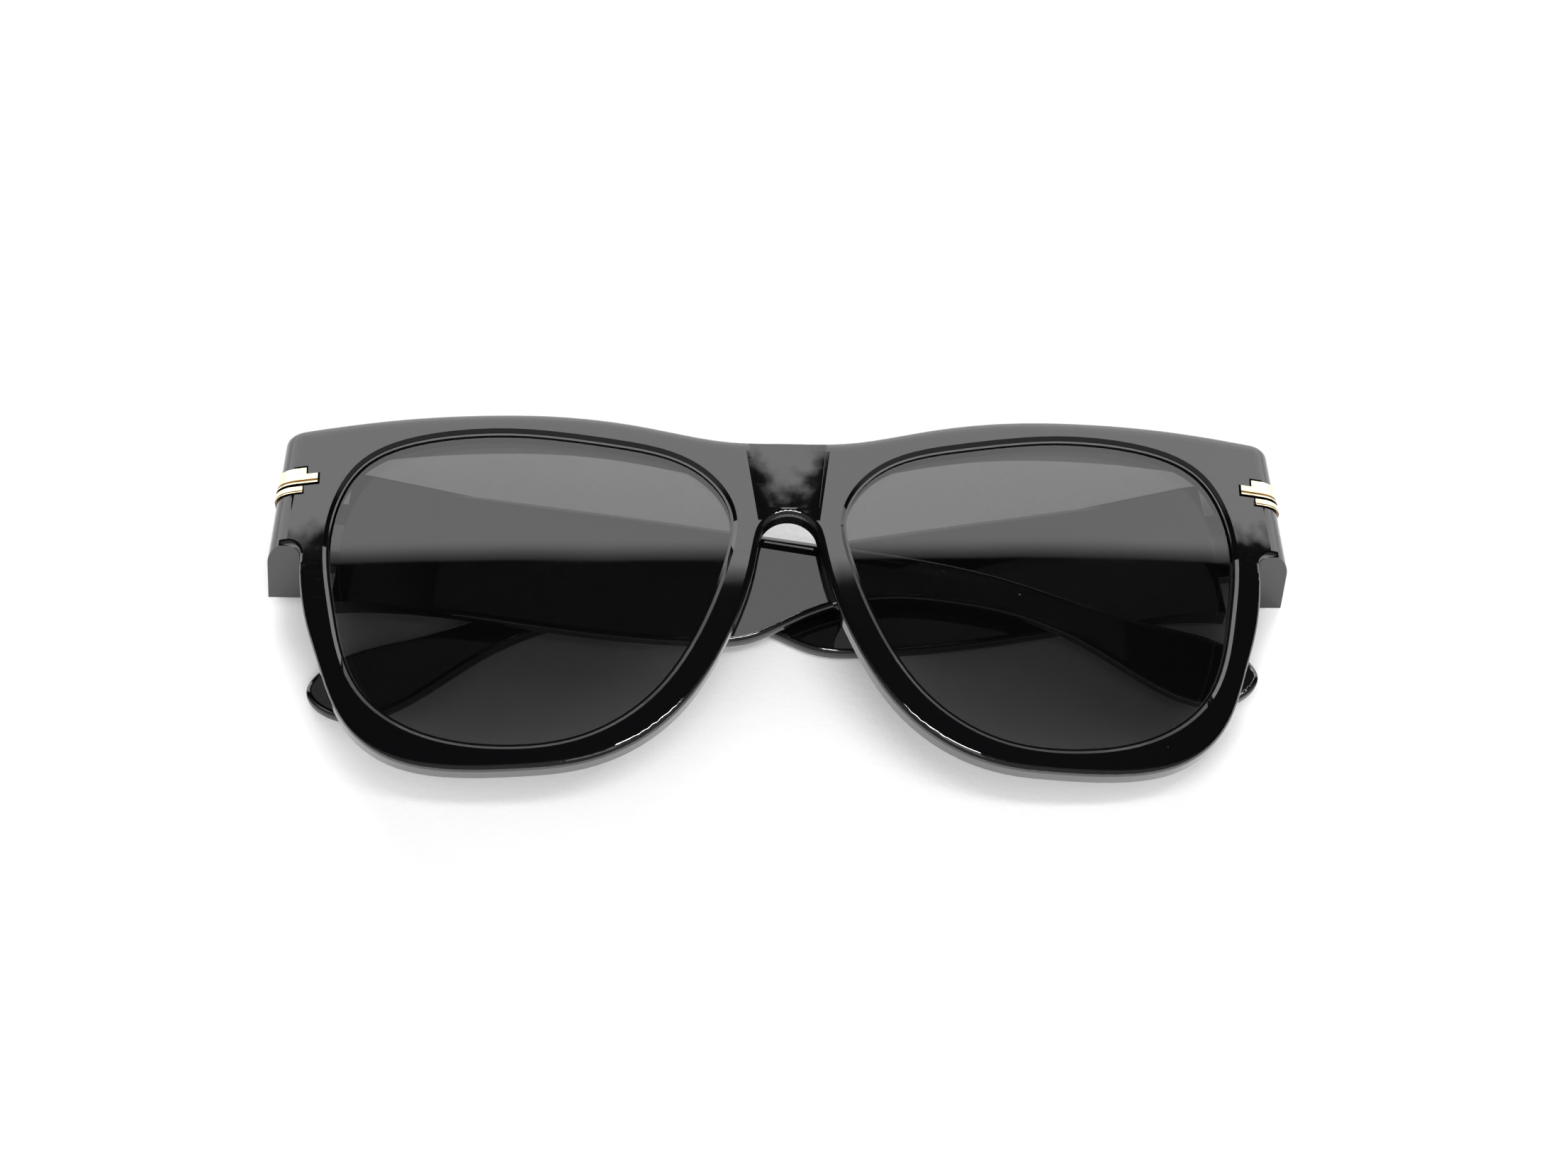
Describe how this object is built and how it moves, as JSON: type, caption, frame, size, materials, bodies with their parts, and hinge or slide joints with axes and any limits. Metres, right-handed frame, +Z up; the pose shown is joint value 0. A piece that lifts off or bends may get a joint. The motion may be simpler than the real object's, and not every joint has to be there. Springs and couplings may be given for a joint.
{
  "type": "fitover sunglasses",
  "caption": "Fitover sunglasses: deep one-piece glossy front with dark lenses and stepped gold corner bars, wide folding temples on moulded screw hinges, stored folded on their back.",
  "frame": {"origin": "on the table plane under the middle of the folded glasses' bounding box", "axes": "+X towards the right lens as the picture shows it, +Y from the lower rims towards the brow, +Z up from the table, out of the front of the lenses"},
  "size_m": [0.1508, 0.0571, 0.0257],
  "materials": {
    "gloss_black": "polished black injection moulding",
    "smoke_lens": "smooth dark grey tint",
    "screw_steel": "turned steel",
    "gold_trim": "polished gold plating"
  },
  "bodies": {
    "front": {"front_frame": "gloss_black", "left_lens": "smoke_lens", "right_lens": "smoke_lens", "left_upper_bar": "gold_trim", "left_lower_bar": "gold_trim", "right_upper_bar": "gold_trim", "right_lower_bar": "gold_trim"},
    "left_arm": {"left_temple": "gloss_black", "left_hinge_screw": "screw_steel"},
    "right_arm": {"right_temple": "gloss_black", "right_hinge_screw": "screw_steel"}
  },
  "joints": [
    {"name": "left_temple_hinge", "type": "hinge", "parent": "front", "child": "left_arm", "pos_m": [-0.06987, 0.01414, 0.00876], "axis": [0.1193, 0.9928, -0.0055], "range_deg": [0, 93.5]},
    {"name": "right_temple_hinge", "type": "hinge", "parent": "front", "child": "right_arm", "pos_m": [0.07009, 0.01448, 0.00541], "axis": [0.1243, -0.9922, -0.0004], "range_deg": [0, 90.3]}
  ]
}
